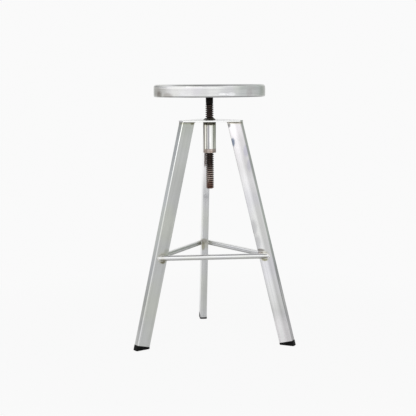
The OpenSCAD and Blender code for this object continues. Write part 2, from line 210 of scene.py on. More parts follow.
# The studio: what the camera sees; walls, softbox, low light and dark panel by degrees from the front; the
# dark panel by height; the ceiling, the two lights and the floor
WHITE = 0.955
WALLS = [
    (-180, (0.90, 0.90, 0.90)), (-166, (0.66, 0.66, 0.66)), (-158, (0.47, 0.47, 0.46)),
    (-146, (0.48, 0.47, 0.46)), (-134, (0.47, 0.45, 0.44)), (-126, (0.58, 0.57, 0.57)),
    (-112, (0.72, 0.71, 0.71)), (-98, (0.93, 0.92, 0.93)), (-86, (1.10, 1.09, 1.10)),
    (-66, (1.10, 1.09, 1.11)), (-50, (1.03, 1.01, 1.06)), (-30, (1.00, 0.98, 1.04)),
    (-10, (0.96, 0.96, 0.96)), (12, (0.94, 0.95, 0.95)), (38, (0.90, 0.90, 0.92)), (52, (0.85, 0.87, 0.85)),
    (64, (0.66, 0.695, 0.67)), (92, (0.60, 0.61, 0.59)), (112, (0.58, 0.61, 0.59)),
    (130, (0.45, 0.48, 0.45)), (150, (0.55, 0.56, 0.54)), (165, (0.75, 0.75, 0.75)),
    (180, (0.90, 0.90, 0.90)),
]
SOFTBOX = [
    (-180, 0.0), (-150, 0.15), (-132, 0.55), (-115, 0.85), (-94, 1.0), (-60, 0.95), (5, 0.9), (40, 0.25),
    (80, 0.0), (180, 0.0),
]
LOW_LIGHT = [
    (-180, 0.0), (-74, 0.0), (-62, 1.0), (-46, 1.0), (-36, 0.15), (-12, 0.15), (-4, 1.0), (8, 1.0),
    (20, 0.1), (180, 0.0),
]
SIDE_SHADE = [(-180, 0.0), (-150, 0.3), (-136, 1.0), (-108, 1.0), (-98, 0.0), (180, 0.0)]
SHADE_BY_HEIGHT = [
    (0.0, (0.50, 0.50, 0.51)), (0.07, (0.48, 0.48, 0.50)), (0.12, (0.68, 0.69, 0.71)),
    (0.16, (0.62, 0.63, 0.66)), (0.20, (0.40, 0.41, 0.44)), (0.27, (0.42, 0.43, 0.46)),
    (0.33, (0.70, 0.70, 0.71)),
]
OVERHEAD = (0.40, 0.40, 0.41)
SOFTBOX_TONE = (1.45, 1.45, 1.45)
LOW_LIGHT_TONE = (1.45, 1.44, 1.46)
PAPER = (0.86, 0.86, 0.86)


# Shader graphs

class Graph:
    """Builds a node tree from short calls. A value may be a number, a colour or a socket."""

    def __init__(self, tree):
        self.tree = tree
        tree.nodes.clear()

    def put(self, node, key, value):
        socket = node.inputs[key]
        if isinstance(value, bpy.types.NodeSocket):
            self.tree.links.new(value, socket)
        elif socket.type == "RGBA" and len(value) == 3:
            socket.default_value = (*value, 1)
        else:
            socket.default_value = value

    def add(self, kind, inputs=(), **settings):
        node = self.tree.nodes.new("ShaderNode" + kind)
        for key, value in settings.items():
            setattr(node, key, value)
        for key, value in dict(inputs).items():
            self.put(node, key, value)
        return node

    def math(self, operation, a, b=0.0):
        return self.add("Math", {0: a, 1: b}, operation=operation).outputs[0]

    def spread(self, value, low, high, to_low=0.0, to_high=1.0):
        """The value's way from low to high, smoothed and kept between to_low and to_high."""
        inputs = {0: value, 1: low, 2: high, 3: to_low, 4: to_high}
        return self.add("MapRange", inputs, interpolation_type="SMOOTHSTEP").outputs[0]

    def mix(self, share, a, b, blend="MIX"):
        return self.add("Mix", {0: share, 6: a, 7: b}, data_type="RGBA", blend_type=blend).outputs[2]

    def tint(self, colour, by):
        """The colour, multiplied by another one."""
        return self.mix(1.0, colour, by, "MULTIPLY")

    def ramp(self, value, stops, interpolation="LINEAR"):
        """A colour or level for each value. stops is a list of (value, colour or level)."""
        node = self.add("ValToRGB", {0: value})
        ramp = node.color_ramp
        ramp.interpolation = interpolation
        while len(ramp.elements) < len(stops):
            ramp.elements.new(0.5)
        for element, (position, colour) in zip(ramp.elements, sorted(stops, key=lambda stop: stop[0])):
            element.position = position
            element.color = (*colour, 1) if isinstance(colour, tuple) else (colour, colour, colour, 1)
        return node.outputs[0]

    def around(self, angle, stops, interpolation="LINEAR"):
        """A ramp round Z. The angle is in radians, and the stops are in degrees from -180 to 180."""
        share = self.math("ADD", self.math("DIVIDE", angle, 2 * math.pi), 0.5)
        return self.ramp(share, [((degrees + 180) / 360, level) for degrees, level in stops], interpolation)

    def place(self):
        return self.add("TexCoord").outputs["Object"]

    def mapped(self, vector, scale=(1, 1, 1), turn=(0, 0, 0), shift=(0, 0, 0)):
        inputs = {"Vector": vector, "Scale": scale, "Rotation": turn, "Location": shift}
        return self.add("Mapping", inputs).outputs[0]

    def noise(self, vector, scale, detail=3.0, roughness=0.5, distortion=0.0):
        inputs = {"Vector": vector, "Scale": scale, "Detail": detail, "Roughness": roughness}
        return self.add("TexNoise", {**inputs, "Distortion": distortion}).outputs[0]

    def vary(self, noise_value, low=0.0, high=1.0):
        """A noise between 0 and 1, which keeps near its middle, turned into a value between low and high."""
        return self.spread(noise_value, 0.3, 0.7, low, high)

    def wobble(self, noise_value, width):
        """A noise between 0 and 1, turned into a step to either side that adds up to width."""
        return self.math("MULTIPLY", self.math("SUBTRACT", noise_value, 0.5), width)

    def xyz(self, vector):
        return self.add("SeparateXYZ", {0: vector}).outputs

    def vector(self, operation, a, b=(0, 0, 0)):
        """A vector operation that gives a number: LENGTH, DISTANCE or DOT_PRODUCT."""
        return self.add("VectorMath", {0: a, 1: b}, operation=operation).outputs["Value"]

    def radius(self, x, y):
        """Distance from the screw's axis."""
        square = self.math("ADD", self.math("MULTIPLY", x, x), self.math("MULTIPLY", y, y))
        return self.math("SQRT", square)

    def bearing(self, x, y):
        """Angle round Z in radians, from the front and positive to the right."""
        return self.math("ARCTAN2", x, self.math("MULTIPLY", y, -1.0))

    def bump(self, height, distance, normal=None, strength=1.0):
        inputs = {"Height": height, "Distance": distance, "Strength": strength}
        if normal is not None:
            inputs["Normal"] = normal
        return self.add("Bump", inputs).outputs[0]

    def output(self, kind, shader):
        self.put(self.add("Output" + kind), 0, shader.outputs[0])

    def finish(self, **inputs):
        """Ends a material in one Principled shader, whose sockets are named with _ for a space."""
        named = {key.replace("_", " "): value for key, value in inputs.items()}
        self.output("Material", self.add("BsdfPrincipled", named))


def new_material(name):
    material = bpy.data.materials.new(name)
    material.use_nodes = True
    return material, Graph(material.node_tree)


def spin(degrees):
    """The turn round Z by an angle."""
    return Matrix.Rotation(math.radians(degrees), 3, "Z")


def heading(degrees):
    """The level unit vector at an angle from +X."""
    return math.cos(math.radians(degrees)), math.sin(math.radians(degrees)), 0


def bar_ends(*turns):
    """Where the ends of footrest bars meet the legs: two places for each bar's turn."""
    return [spin(turn) @ Vector((side * BAR_END_X, BAR_Y, BAR_Z)) for turn in turns for side in (-1, 1)]


def spun(g, place):
    """Place on a turned surface: slow round the axis, and quick across the rings that the tool left."""
    x, y, z = g.xyz(place)
    radius = g.math("MAXIMUM", g.radius(x, y), 0.001)
    rings = {0: g.math("DIVIDE", x, radius), 1: g.math("DIVIDE", y, radius), 2: g.math("ADD", radius, z)}
    return g.add("CombineXYZ", rings).outputs[0]


def heat(g, colour, distance, reach):
    """Steel tinted by the heat of a weld: dark olive beside it, then straw."""
    share = g.spread(distance, 0.0, reach)
    tint = g.ramp(share, [
        (0.0, (0.66, 0.64, 0.57)),
        (0.25, (0.80, 0.78, 0.70)),
        (0.50, (0.92, 0.91, 0.84)),
        (0.75, (0.98, 0.98, 0.95)),
        (1.0, (1.0, 1.0, 1.0)),
    ])
    return g.tint(colour, tint)


def marked(g, colour, place, marks):
    """Stains, scorches, painted shade, highlights and reflections. Each mark has a centre, a radius, a
    stretch along Z and a tint.
    """
    edge = 0.5
    fray = g.math("MULTIPLY", g.noise(place, 240.0, 3.0, 0.6), edge)
    uneven = g.math("ADD", fray, 1.0 - edge / 2)
    for (x, y, z), radius, stretch, tint in marks:
        away = g.mapped(place, scale=(1, 1, 1 / stretch), shift=(-x, -y, -z / stretch))
        distance = g.math("MULTIPLY", g.vector("LENGTH", away), uneven)
        near = g.spread(distance, radius * 0.45, radius, 1.0, 0.0)
        colour = g.mix(near, colour, g.tint(colour, tint))
    return colour


def steel(name, tone, roughness, grain, turn=(0, 0, 0), wave=0.0004, hue=0.02, uneven=0.05,
          turned=False, dress=None, relief=0.00003):
    """Satin steel with fine grain drawn out along one way, soft blotches and slow waves in its surface.

    grain is the scale of the streaks along X, Y and Z once the place is turned by turn, or across the rings
    of a turned surface. wave and relief are how high the slow waves and the streaks stand, in metres. hue is
    how far the colour strays to warm and cool, and uneven how dark its blotches are. dress takes the graph,
    the place before that turn and the colour, and returns the colour with what is on this piece alone.
    """
    material, g = new_material(name)
    own = g.place()
    place = g.mapped(own, turn=turn)
    across = spun(g, own) if turned else place
    streaks = g.noise(g.mapped(across, scale=grain), 1.0, 5.0, 0.62)
    fine = g.noise(g.mapped(across, scale=tuple(4.5 * x for x in grain)), 1.0, 3.0, 0.6)
    blotches = g.noise(place, 26.0, 4.0, 0.55, 0.6)
    clouds = g.noise(place, 9.0, 2.0, 0.5)
    cool = tuple(c * f for c, f in zip(tone, (1 - hue * 0.6, 1 - hue * 0.5, 1 + hue)))
    warm = tuple(c * f for c, f in zip(tone, (1.0, 1 + hue * 0.5, 1 - hue)))
    colour = g.mix(g.spread(clouds, 0.35, 0.65), cool, warm)
    colour = g.tint(colour, g.ramp(blotches, [(0.25, 1 - uneven), (0.75, 1.0)]))
    colour = g.tint(colour, g.ramp(streaks, [(0.3, 0.95), (0.7, 1.0)]))
    bands = g.noise(g.mapped(across, scale=tuple(0.45 * x for x in grain), shift=(7, 3, 5)), 1.0, 2.0, 0.5)
    colour = g.tint(colour, g.ramp(bands, [(0.35, 1 - 2 * uneven), (0.6, 1.0)]))
    rough = g.math("ADD", g.vary(blotches, roughness * 0.8, roughness * 1.2), g.vary(streaks, -0.02, 0.03))
    if dress is not None:
        colour = dress(g, own, colour)
    normal = g.bump(g.noise(place, 17.0, 1.0, 0.4), wave)
    normal = g.bump(streaks, relief, normal)
    normal = g.bump(fine, 0.00001, normal)
    g.finish(Base_Color=colour, Metallic=1.0, Roughness=rough, Normal=normal)
    return material


def nearest(g, place, points):
    """Distance to the nearest of some points."""
    found = None
    for point in points:
        distance = g.vector("DISTANCE", place, tuple(point))
        found = distance if found is None else g.math("MINIMUM", found, distance)
    return found


def leg_steel(name, tone, reach, uneven, shine, wide=EVEN, across=EVEN, narrow=EVEN):
    """Steel of a leg, tinted round the welds of its bars and under the plate.

    reach is how far the welds' tint spreads. shine is a list of (height, share): how far the leg is whitened
    by a painted highlight at each height. wide and narrow are lists of (height, level): painted shade and
    highlight, how light its wide faces and its outer narrow face are. across is a list of (share, level) of
    painted shade and highlight, from the outer to the inner side of the wide faces.
    """
    angle = LEG_ANGLES[name]
    outward = heading(angle)

    def dress(g, place, colour):
        height = g.xyz(place)[2]
        # Painted highlight: the leg is whitened by height
        colour = g.mix(g.ramp(height, shine, "EASE"), colour, LEG_PAINTED_HIGHLIGHT)
        wobble = g.wobble(g.noise(place, 130.0, 3.0), 0.4 * reach)
        welds = nearest(g, place, bar_ends(*BAR_TURNS.values()))
        colour = heat(g, colour, g.math("ADD", g.math("SUBTRACT", welds, BAR_R), wobble), reach)
        below_plate = g.math("SUBTRACT", PLATE_LOW, height)
        colour = heat(g, colour, g.math("ADD", below_plate, wobble), PLATE_HEAT)
        faces_out = g.vector("DOT_PRODUCT", g.add("NewGeometry").outputs["True Normal"], outward)
        outer = g.math("ADD", g.math("MULTIPLY", height, -math.tan(SPLAY)), LEG_FLOOR_R)
        along = g.vector("DOT_PRODUCT", place, outward)
        share = g.math("DIVIDE", g.math("SUBTRACT", outer, along), TUBE_W / math.cos(SPLAY))
        # Painted shade and highlight by height, across the wide faces and on the outer narrow face
        broad = g.tint(g.ramp(height, wide, "EASE"), g.ramp(share, across))
        level = g.mix(g.spread(faces_out, 0.4, 0.6), broad, g.ramp(height, narrow, "EASE"))
        return marked(g, g.tint(colour, level), place, LEG_MARKS_AND_PAINTED_LIGHT[name])

    upright = Matrix.Rotation(SPLAY, 3, "Y") @ Matrix.Rotation(-math.radians(angle), 3, "Z")
    return steel(name + "_satin", tone, 0.13, (260, 260, 5), tuple(upright.to_euler("XYZ")), 0.0003,
                 uneven=uneven, dress=dress)


def bar_steel(name, tone, roughness):
    """Polished bar, tinted at both ends, with painted shade along its underside and under its ends where it
    meets the legs, and a painted highlight along its top.
    """
    turn = BAR_TURNS[name]
    ends = bar_ends(turn)
    # Painted shade under the bar near its ends, where it meets the legs
    under = [(end + Vector((0, 0, -BAR_R)), 0.022, 0.35, (0.50, 0.48, 0.40)) for end in ends]

    def dress(g, place, colour):
        height = g.math("SUBTRACT", g.xyz(place)[2], BAR_Z)
        # Painted shade along the underside, and a painted highlight along the top
        colour = g.mix(g.spread(height, 0.000, -0.003), colour, g.tint(colour, (0.70, 0.70, 0.69)))
        colour = g.mix(g.spread(height, 0.004, 0.006), colour, (1.0, 1.0, 1.0))
        colour = heat(g, colour, g.math("SUBTRACT", nearest(g, place, ends), 0.003), 0.008)
        return marked(g, colour, place, under)

    return steel(name + "_polished", tone, roughness, (4, 150, 150), (0, 0, -math.radians(turn)), 0.0002,
                 dress=dress, relief=0.00001)


def rim_painted_light(g, place, colour):
    """Painted shade and highlights on the round edges of the seat, with the painted marks of its rim."""
    colour = marked(g, colour, place, RIM_PAINTED_MARKS)
    x, y, z = g.xyz(place)
    height = g.math("DIVIDE", g.math("SUBTRACT", z, RIM_LOW), SEAT_TOP - RIM_LOW)
    # Painted shade and highlights by height on the rim's round edges, on the left and on the right
    level = g.mix(g.spread(x, 0.002, 0.038), g.ramp(height, RIM_LEFT), g.ramp(height, RIM_RIGHT))
    outside = g.spread(g.radius(x, y), SEAT_R - 1.1 * EDGE_R, SEAT_R - 0.7 * EDGE_R)
    return g.mix(outside, colour, g.tint(colour, level))


def sawn(g, place, colour):
    """Dull metal on the plate's cut corners."""
    normal = g.add("NewGeometry").outputs["True Normal"]
    for angle, tint in SAWN:
        facing = g.vector("DOT_PRODUCT", normal, heading(angle))
        colour = g.mix(g.spread(facing, 0.90, 0.97), colour, g.tint(colour, tint))
    return colour


def dark_metal(name, colours, roughness, scale):
    """Mill-finish or blackened steel, mottled between two colours."""
    material, g = new_material(name)
    place = g.place()
    mottle = g.noise(place, scale, 5.0, 0.6, 0.4)
    freckles = g.noise(place, scale * 9, 3.0, 0.7)
    colour = g.mix(g.vary(mottle), *colours)
    colour = g.mix(g.spread(freckles, 0.62, 0.72, 0.0, 0.6), colour, (0.13, 0.075, 0.045))
    rough = g.vary(mottle, roughness * 0.85, roughness * 1.2)
    normal = g.bump(freckles, 0.00004, g.bump(mottle, 0.0002))
    g.finish(Base_Color=colour, Metallic=1.0, Roughness=rough, Normal=normal)
    return material


def screw_steel():
    """Oiled, blackened thread whose crests are worn and carry a painted highlight, and that turns to rust
    towards its lower end. It has painted shade in its grooves and on its sides, and the seat's painted shadow
    on its shank.
    """
    material, g = new_material("screw_oiled")
    place = g.place()
    x, y, height = g.xyz(place)
    radius = g.radius(x, y)
    mottle = g.noise(g.mapped(place, scale=(1, 1, 0.5)), 160.0, 4.0, 0.6, 0.5)
    spots = g.noise(place, 420.0, 3.0, 0.6)

    # How far a place is from the middle of the crest, as a share of the pitch
    turns = g.math("SUBTRACT", g.math("DIVIDE", g.math("SUBTRACT", height, THREAD_LOW), PITCH),
                   g.math("DIVIDE", g.math("ARCTAN2", y, x), 2 * math.pi))
    off = g.math("ABSOLUTE", g.math("SUBTRACT", g.math("FRACT", turns), CREST_PLACE))
    # Worn crest lines, which also carry a painted highlight along the crests
    worn = g.spread(off, 0.15, 0.07)

    level = g.math("ADD", height, g.wobble(mottle, 0.03))
    rusty = g.spread(level, *SCREW_RUST)
    rubbed_and_glint = g.math("MULTIPLY", worn, g.spread(height, *SCREW_RUBBED, 0.15, 1.0))
    oiled = g.mix(g.spread(spots, 0.40, 0.65), (0.014, 0.008, 0.006), (0.048, 0.030, 0.025))
    polish_and_glint = g.mix(g.spread(spots, 0.35, 0.65), (0.070, 0.046, 0.038), (0.18, 0.125, 0.105))
    oiled = g.mix(rubbed_and_glint, oiled, polish_and_glint)
    rust = g.mix(g.spread(mottle, 0.35, 0.65), (0.42, 0.31, 0.26), (0.85, 0.70, 0.62))
    # Painted shade: the rust darkens where the screw faces left and right
    facing = g.math("DIVIDE", g.math("ABSOLUTE", y), radius)
    rust = g.mix(g.spread(facing, 0.80, 0.45), rust, (0.060, 0.040, 0.032))
    rust = g.mix(worn, (0.080, 0.050, 0.038), rust)
    crest = g.mix(rusty, oiled, rust)
    crest = g.mix(g.spread(level, *SCREW_END), crest, (0.17, 0.085, 0.062))
    # Grooves: dark grease and painted shade, darkest on the upper part
    valley = g.mix(g.spread(height, *reversed(SCREW_RUBBED)), (0.003, 0.002, 0.002), (0.016, 0.010, 0.008))
    valley = g.mix(rusty, valley, (0.014, 0.008, 0.006))
    valley = g.mix(g.spread(height, *SCREW_TIP), valley, (0.11, 0.055, 0.040))
    colour = g.mix(g.spread(radius, CREST_R - 0.0012, CREST_R - 0.0003), valley, crest)
    # Black oiled shank with the seat's painted shadow
    colour = g.mix(g.spread(height, *SCREW_SHANK_SHADOW), colour, (0.008, 0.006, 0.005))
    rough = g.spread(rusty, 0.0, 1.0, 0.38, 0.5)
    normal = g.bump(spots, 0.00012, strength=0.8)
    g.finish(Base_Color=colour, Metallic=0.3, Roughness=rough, Normal=normal, Specular_IOR_Level=0.16)
    return material


def sleeve_steel():
    """Turned steel: fine rings round the tube, painted reflections as bright and dull stripes along it, and
    weld tint at the top.
    """
    material, g = new_material("sleeve_turned")
    place = g.place()
    x, y, height = g.xyz(place)
    rings = g.noise(g.mapped(place, scale=(12, 12, 2200)), 1.0, 3.0, 0.6)
    streaks = g.noise(g.mapped(place, scale=(400, 400, 4)), 1.0, 3.0, 0.55)
    blotches = g.noise(place, 60.0, 4.0, 0.5, 0.4)
    # Painted reflections: the sleeve's colour by degrees from the front
    colour = g.around(g.math("ADD", g.bearing(x, y), g.wobble(blotches, 0.05)), SLEEVE_PAINTED_REFLECTIONS)
    colour = g.tint(colour, g.ramp(streaks, [(0.3, (0.90, 0.90, 0.89)), (0.7, (1.0, 1.0, 1.0))]))
    distance = g.math("ADD", g.math("SUBTRACT", PLATE_LOW, height), g.wobble(blotches, 0.006))
    colour = heat(g, colour, distance, 0.020)
    # The sleeve is darker in a band just below the plate
    scale = g.mix(g.spread(blotches, 0.4, 0.6), (0.050, 0.046, 0.036), (0.095, 0.090, 0.068))
    colour = g.mix(g.spread(distance, *SLEEVE_DARK_BAND), colour, scale)
    rough = g.vary(streaks, 0.09, 0.16)
    normal = g.bump(streaks, 0.00004, g.bump(rings, 0.000008))
    g.finish(Base_Color=colour, Metallic=1.0, Roughness=rough, Normal=normal)
    return material


def nut_steel():
    """Turned collar with a film of rust and old grease, and painted reflections by degrees from the front."""
    material, g = new_material("nut_rusted")
    place = g.place()
    film = g.noise(place, 120.0, 5.0, 0.6, 0.6)
    rings = g.noise(g.mapped(place, scale=(15, 15, 1500)), 1.0, 3.0, 0.6)
    x, y, _ = g.xyz(place)
    shades = [(0.25, (0.26, 0.17, 0.13)), (0.5, (0.50, 0.42, 0.37)), (0.75, (0.70, 0.66, 0.62))]
    # Painted reflections round the collar, by degrees from the front
    colour = g.tint(g.ramp(film, shades), g.around(g.bearing(x, y), COLLAR_PAINTED_REFLECTIONS))
    rough = g.vary(film, 0.42, 0.26)
    normal = g.bump(rings, 0.00002, g.bump(film, 0.00015))
    g.finish(Base_Color=colour, Metallic=0.9, Roughness=rough, Normal=normal)
    return material


def weld_metal():
    """Bead of bright weld metal with dark scale in its ripples."""
    material, g = new_material("weld_bead")
    place = g.place()
    scale = g.noise(place, 330.0, 4.0, 0.6, 0.5)
    shades = [(0.28, (0.42, 0.39, 0.33)), (0.42, (0.74, 0.72, 0.66)), (0.60, (0.92, 0.91, 0.90))]
    colour = marked(g, g.ramp(scale, shades), place, BEAD_MARKS)
    rough = g.vary(scale, 0.45, 0.18)
    g.finish(Base_Color=colour, Metallic=1.0, Roughness=rough, Normal=g.bump(scale, 0.0003))
    return material


def scaled_weld(name, level):
    """Weld bead in a dark colour, the darker the smaller its level."""
    material, g = new_material(name)
    scale = g.noise(g.place(), 300.0, 4.0, 0.6, 0.5)
    shades = [(0.35, (0.045, 0.040, 0.028)), (0.6, (0.16, 0.145, 0.10)), (0.8, (0.42, 0.40, 0.33))]
    colour = g.ramp(scale, [(value, tuple(level * c for c in shade)) for value, shade in shades])
    g.finish(Base_Color=colour, Metallic=0.8, Roughness=0.5, Normal=g.bump(scale, 0.0003))
    return material


def cap_plastic():
    """Black moulded plastic with a fine spark-eroded grain and dusty edges."""
    material, g = new_material("cap_moulded")
    place = g.place()
    grain = g.noise(place, 1500.0, 2.0, 0.6)
    dust = g.noise(place, 90.0, 4.0, 0.6)
    height = g.xyz(place)[2]
    low = g.spread(height, 0.004, 0.0, 0.0, 0.5)
    worn = g.math("MULTIPLY", g.spread(dust, 0.45, 0.7), g.math("ADD", low, 0.3))
    colour = g.mix(worn, (0.003, 0.003, 0.003), (0.020, 0.019, 0.018))
    rough = g.vary(dust, 0.38, 0.58)
    g.finish(Base_Color=colour, Roughness=rough, Normal=g.bump(grain, 0.00004), Specular_IOR_Level=0.08)
    return material


def ring_rubber():
    """Rubber ring, smeared with brown grease from the screw."""
    material, g = new_material("ring_greasy")
    place = g.place()
    smear = g.noise(g.mapped(place, scale=(1, 1, 2)), 140.0, 4.0, 0.6, 0.8)
    shades = [(0.3, (0.018, 0.016, 0.012)), (0.55, (0.055, 0.050, 0.035)), (0.75, (0.16, 0.14, 0.10))]
    colour = g.ramp(smear, shades)
    # A lighter grey patch at the front left of the ring
    light_patch_at = (-0.016, -0.010, PLATE_HIGH)
    worn = g.spread(g.vector("DISTANCE", place, light_patch_at), 0.011, 0.004, 0.0, 0.8)
    colour = g.mix(worn, colour, (0.30, 0.30, 0.29))
    rough = g.vary(smear, 0.3, 0.55)
    g.finish(Base_Color=colour, Roughness=rough, Normal=g.bump(smear, 0.0003))
    return material


# Mesh pieces

def linked(name, data):
    """A new object in the scene."""
    thing = bpy.data.objects.new(name, data)
    bpy.context.scene.collection.objects.link(thing)
    return thing


def add_piece(name, mesh, body, material, slot, *replaced):
    """Adds a finished mesh that moves with a body and stands for CAD nodes."""
    piece = linked(name, mesh)
    mesh.materials.clear()
    mesh.materials.append(material)
    for polygon in mesh.polygons:
        polygon.use_smooth = True
    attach(piece, body)
    if replaced:
        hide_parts(*replaced)
    return piece


def weight_normals(piece):
    """Keeps large faces flat in the shading of the rounded edges beside them."""
    modifier = piece.modifiers.new("normals", "WEIGHTED_NORMAL")
    modifier.keep_sharp = True
    modifier.weight = 100


def arc(centre_r, centre_z, radius, first, last, steps):
    """Points of an arc in a half section, by angles in degrees from outward."""
    points = []
    for i in range(steps + 1):
        angle = math.radians(first + (last - first) * i / steps)
        points.append((centre_r + radius * math.cos(angle), centre_z + radius * math.sin(angle)))
    return points


def finished(bm, name):
    """Ends a bmesh as a mesh, with its faces turned outward."""
    bmesh.ops.recalc_face_normals(bm, faces=bm.faces)
    mesh = bpy.data.meshes.new(name)
    bm.to_mesh(mesh)
    bm.free()
    return mesh


def in_turn(rings, closed):
    """Each ring with the next one, and the last with the first where the row is closed."""
    pairs = list(zip(rings, rings[1:]))
    if closed:
        pairs.append((rings[-1], rings[0]))
    return pairs


def lathe(name, profile, steps=144, closed=True):
    """Turns a half section of (radius, z) points round Z. A point on the axis becomes one vertex."""
    bm = bmesh.new()
    rings = []
    for radius, z in profile:
        if radius == 0:
            rings.append([bm.verts.new((0, 0, z))])
            continue
        ring = []
        for i in range(steps):
            angle = 2 * math.pi * i / steps
            ring.append(bm.verts.new((radius * math.cos(angle), radius * math.sin(angle), z)))
        rings.append(ring)
    for low, high in in_turn(rings, closed):
        for i in range(steps):
            j = (i + 1) % steps
            corners = [low[i % len(low)], low[j % len(low)], high[j % len(high)], high[i % len(high)]]
            unique = list(dict.fromkeys(corners))
            if len(unique) > 2:
                bm.faces.new(unique)
    return finished(bm, name)


def round_heel(bm):
    """Rounds the outer edge of a cap's sole."""
    def reach(edge):
        return sum((vertex.co.x ** 2 + vertex.co.y ** 2) ** 0.5 for vertex in edge.verts) / 2

    low = [edge for edge in bm.edges if all(vertex.co.z < 0.5 * MM for vertex in edge.verts)]
    heel = max(low, key=reach)
    bmesh.ops.bevel(bm, geom=[heel], offset=HEEL_R, segments=6, profile=0.5, affect="EDGES")


def refined(node, name, body, material, slot, width, shape=None):
    """A copy of a CAD node whose true edges are rounded to a width. It stands for the node.

    shape, where given, changes the copy first.
    """
    mesh = NODES[node].data.copy()
    mesh.name = name
    bm = bmesh.new()
    bm.from_mesh(mesh)
    bmesh.ops.remove_doubles(bm, verts=bm.verts, dist=0.000005)
    bmesh.ops.dissolve_limit(bm, angle_limit=math.radians(0.5), verts=bm.verts, edges=bm.edges)
    if shape is not None:
        shape(bm)
    bmesh.ops.recalc_face_normals(bm, faces=bm.faces)
    bm.to_mesh(mesh)
    bm.free()
    if "custom_normal" in mesh.attributes:
        mesh.attributes.remove(mesh.attributes["custom_normal"])
    piece = add_piece(name, mesh, body, material, slot, node)
    bevel = piece.modifiers.new("edges", "BEVEL")
    bevel.width = width
    bevel.segments = 3
    bevel.limit_method = "ANGLE"
    bevel.angle_limit = math.radians(30)
    # The bevel can leave points that lie on one another
    weld = piece.modifiers.new("weld", "WELD")
    weld.merge_threshold = 0.000002
    weight_normals(piece)


def screw_mesh():
    """The lift screw: a worn trapezoidal thread that climbs one pitch a turn.

    A cone cuts it off at the lower end, and at the upper end it fades out into the plain shank over one turn.
    The profile is a list of (height in mm, share of the thread's depth).
    """
    steps = 40
    profile = [(0.0, 0.0), (0.10, 0.08), (0.60, 0.82), (0.72, 0.95), (0.92, 1.0), (3.08, 1.0), (3.28, 0.95),
               (3.40, 0.82), (3.90, 0.08), (4.00, 0.0), (4.90, 0.0)]
    last = steps * (THREAD_TURNS + 1)
    bm = bmesh.new()

    def vertex(radius, k, z):
        angle = 2 * math.pi * k / steps
        z = max(z, SCREW_LOW)
        radius = min(radius, TIP_R + 2 * (z - SCREW_LOW))
        return bm.verts.new((radius * math.cos(angle), radius * math.sin(angle), z))

    def radius_at(k, share):
        faded = min(max(1 - (last - k) / steps, 0), 1)
        full = ROOT_R + (CREST_R - ROOT_R) * share
        return full + (SHANK_R - full) * faded

    def height_at(k):
        return THREAD_LOW + PITCH * (k / steps - 1)

    columns = []
    for k in range(last + 1):
        columns.append([vertex(radius_at(k, share), k, height_at(k) + rise * MM) for rise, share in profile])
    for k in range(last + 1, last + steps + 1):
        columns.append([vertex(SHANK_R, k, height_at(k))])
    tip = [vertex(TIP_R, k, SCREW_LOW) for k in range(steps)]
    top = [vertex(SHANK_R, k, SCREW_HIGH) for k in range(steps)]

    def at(k, p):
        return columns[k + steps][0] if p == len(profile) else columns[k][p]

    bm.faces.new(tip)
    bm.faces.new(top)
    for k in range(steps - 1):
        bm.faces.new([tip[k], at(k, 0), at(k + 1, 0), tip[k + 1]])
        bm.faces.new([at(last + k + 1, 0), top[(k + 1) % steps], top[(k + 2) % steps], at(last + k + 2, 0)])
    for k in range(last):
        for p in range(len(profile)):
            bm.faces.new([at(k, p), at(k, p + 1), at(k + 1, p + 1), at(k + 1, p)])
    bm.faces.new([tip[steps - 1], at(steps - 1, 0), at(0, 0), tip[0]])
    for p in range(len(profile)):
        bm.faces.new([at(steps - 1, 0), at(0, p + 1), at(0, p)])
        bm.faces.new([at(last + 1, 0), at(last, p), at(last, p + 1)])
    bm.faces.new([at(last + 1, 0), at(last, len(profile)), top[0], top[1]])
    bmesh.ops.remove_doubles(bm, verts=bm.verts, dist=0.000001)
    bmesh.ops.dissolve_degenerate(bm, dist=0.000001, edges=bm.edges)
    return finished(bm, "lift_screw_thread")


def bead_mesh(name, line, normals, radius, closed, seed):
    """Weld bead: a tube along a line of points, with ripples and small lumps.

    normals has two ways for each point, and the tube's ring lies in their plane.
    """
    sides = 12
    ripple_height, ripple_length = 0.10, 1.7 * MM
    lump_height, lumps_per_metre = 0.28, 210
    bm = bmesh.new()
    rings = []
    length = 0.0
    for i, point in enumerate(line):
        if i:
            length += (point - line[i - 1]).length
        ripple = 1 + ripple_height * math.sin(2 * math.pi * length / ripple_length)
        lump = 1 + lump_height * noise.noise(point * lumps_per_metre + Vector((seed, 0, 0)))
        size = radius * ripple * lump
        if not closed:
            to_end = min(i, len(line) - 1 - i)
            size *= min(1.0, 0.25 + to_end / 4)
        across, out = normals[i]
        ring = []
        for side in range(sides):
            angle = 2 * math.pi * side / sides
            ring.append(bm.verts.new(point + size * (math.cos(angle) * across + math.sin(angle) * out)))
        rings.append(ring)
    for a, b in in_turn(rings, closed):
        for side in range(sides):
            other = (side + 1) % sides
            bm.faces.new([a[side], a[other], b[other], b[side]])
    if not closed:
        bm.faces.new(rings[0])
        bm.faces.new(rings[-1])
    return finished(bm, name)


def bar_bead(turn, side):
    """The line of the weld round a footrest bar's end, on the side face of a leg."""
    centre = Vector((side * BAR_END_X, BAR_Y, BAR_Z))
    axis = Vector((-side, 0, 0))
    off_square = math.radians(30)
    face = Vector((-side * math.sin(off_square), -math.cos(off_square), 0))
    line, normals = [], []
    count = 72
    for i in range(count):
        angle = 2 * math.pi * i / count
        radial = Vector((0, math.cos(angle), math.sin(angle)))
        along = -BAR_R * radial.dot(face) / axis.dot(face)
        line.append(spin(turn) @ (centre + BAR_R * radial + along * axis))
        outward = radial - radial.dot(face) * face
        normals.append((spin(turn) @ outward.normalized(), spin(turn) @ face))
    return line, normals


